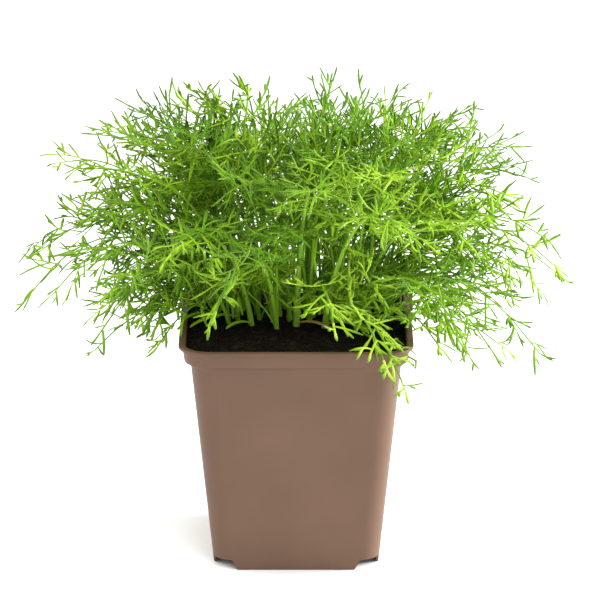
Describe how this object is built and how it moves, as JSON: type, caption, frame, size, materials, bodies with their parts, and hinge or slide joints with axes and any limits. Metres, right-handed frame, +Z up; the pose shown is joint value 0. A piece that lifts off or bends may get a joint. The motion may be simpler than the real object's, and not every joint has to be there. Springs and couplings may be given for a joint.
{
  "type": "potted dill plant",
  "caption": "Young dill seedlings growing from dark compost in a square tapered plastic nursery pot with a stepped rim and feet.",
  "frame": {"origin": "under the middle of the pot, on the surface that it stands on", "axes": "+Z up along the pot's middle line; -Y is the pot's front, where the bare compost shows; +X to the right seen from the front"},
  "size_m": [0.2048, 0.1866, 0.1922],
  "materials": {
    "taupe_plastic": "thin moulded plastic, taupe, satin",
    "peat_compost": null,
    "dill_green": null
  },
  "bodies": {
    "root": {"pot": "taupe_plastic", "compost": "peat_compost", "dill_seedling_01": "dill_green", "dill_seedling_02": "dill_green", "dill_seedling_03": "dill_green", "dill_seedling_04": "dill_green", "dill_seedling_05": "dill_green", "dill_seedling_06": "dill_green", "dill_seedling_07": "dill_green", "dill_seedling_08": "dill_green", "dill_seedling_09": "dill_green", "dill_seedling_10": "dill_green", "dill_seedling_11": "dill_green", "dill_seedling_12": "dill_green", "dill_seedling_13": "dill_green", "dill_seedling_14": "dill_green", "dill_seedling_15": "dill_green", "dill_seedling_16": "dill_green", "dill_seedling_17": "dill_green", "dill_seedling_18": "dill_green", "dill_seedling_19": "dill_green", "dill_seedling_20": "dill_green", "dill_seedling_21": "dill_green", "dill_seedling_22": "dill_green", "dill_seedling_23": "dill_green", "dill_seedling_24": "dill_green", "dill_seedling_25": "dill_green", "dill_seedling_26": "dill_green", "dill_seedling_27": "dill_green", "dill_seedling_28": "dill_green", "dill_seedling_29": "dill_green", "dill_seedling_30": "dill_green", "dill_seedling_31": "dill_green", "dill_seedling_32": "dill_green", "dill_seedling_33": "dill_green", "dill_seedling_34": "dill_green", "dill_seedling_35": "dill_green", "dill_seedling_36": "dill_green", "dill_seedling_37": "dill_green", "dill_seedling_38": "dill_green", "dill_seedling_39": "dill_green", "dill_seedling_40": "dill_green", "dill_seedling_41": "dill_green", "dill_seedling_42": "dill_green", "dill_seedling_43": "dill_green", "dill_seedling_44": "dill_green", "dill_seedling_45": "dill_green", "dill_seedling_46": "dill_green", "dill_seedling_47": "dill_green", "dill_seedling_48": "dill_green", "dill_seedling_49": "dill_green", "dill_seedling_50": "dill_green", "dill_seedling_51": "dill_green", "dill_seedling_52": "dill_green", "dill_seedling_53": "dill_green", "dill_seedling_54": "dill_green", "dill_seedling_55": "dill_green", "dill_seedling_56": "dill_green"}
  },
  "joints": []
}
